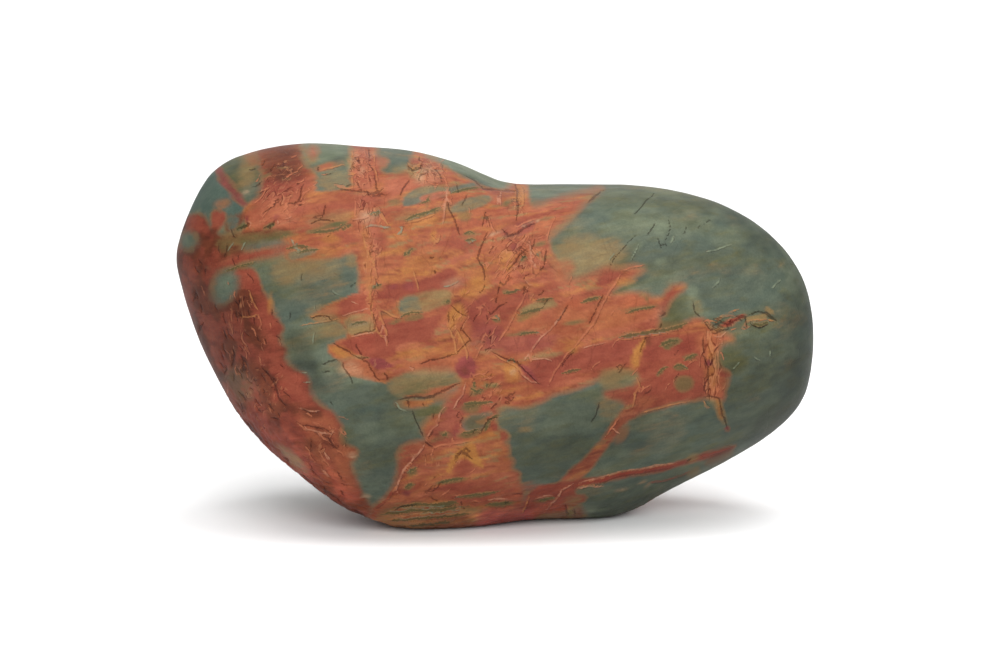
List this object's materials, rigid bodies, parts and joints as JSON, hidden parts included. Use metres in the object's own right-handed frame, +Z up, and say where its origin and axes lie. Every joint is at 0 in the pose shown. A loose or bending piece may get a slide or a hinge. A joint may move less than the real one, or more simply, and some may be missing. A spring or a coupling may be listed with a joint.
{
  "type": "dragon stone cobble",
  "caption": "Water-worn cobble of green and red jasper, broad and pillow-shaped with a low saddle in its top edge, standing on its narrow edge on a small flat spot.",
  "frame": {"origin": "middle of the bounding box at the height of the flat spot that the stone rests on", "axes": "+X along the stone towards its thinner end, +Y through its thickness towards the back, +Z up from the rest"},
  "size_m": [0.1994, 0.0848, 0.1191],
  "materials": {
    "jasper": "honed, satin, mottled green, brick red, orange and plum with darker cracks and pale veins"
  },
  "bodies": {
    "root": {"stone": "jasper"}
  },
  "joints": []
}
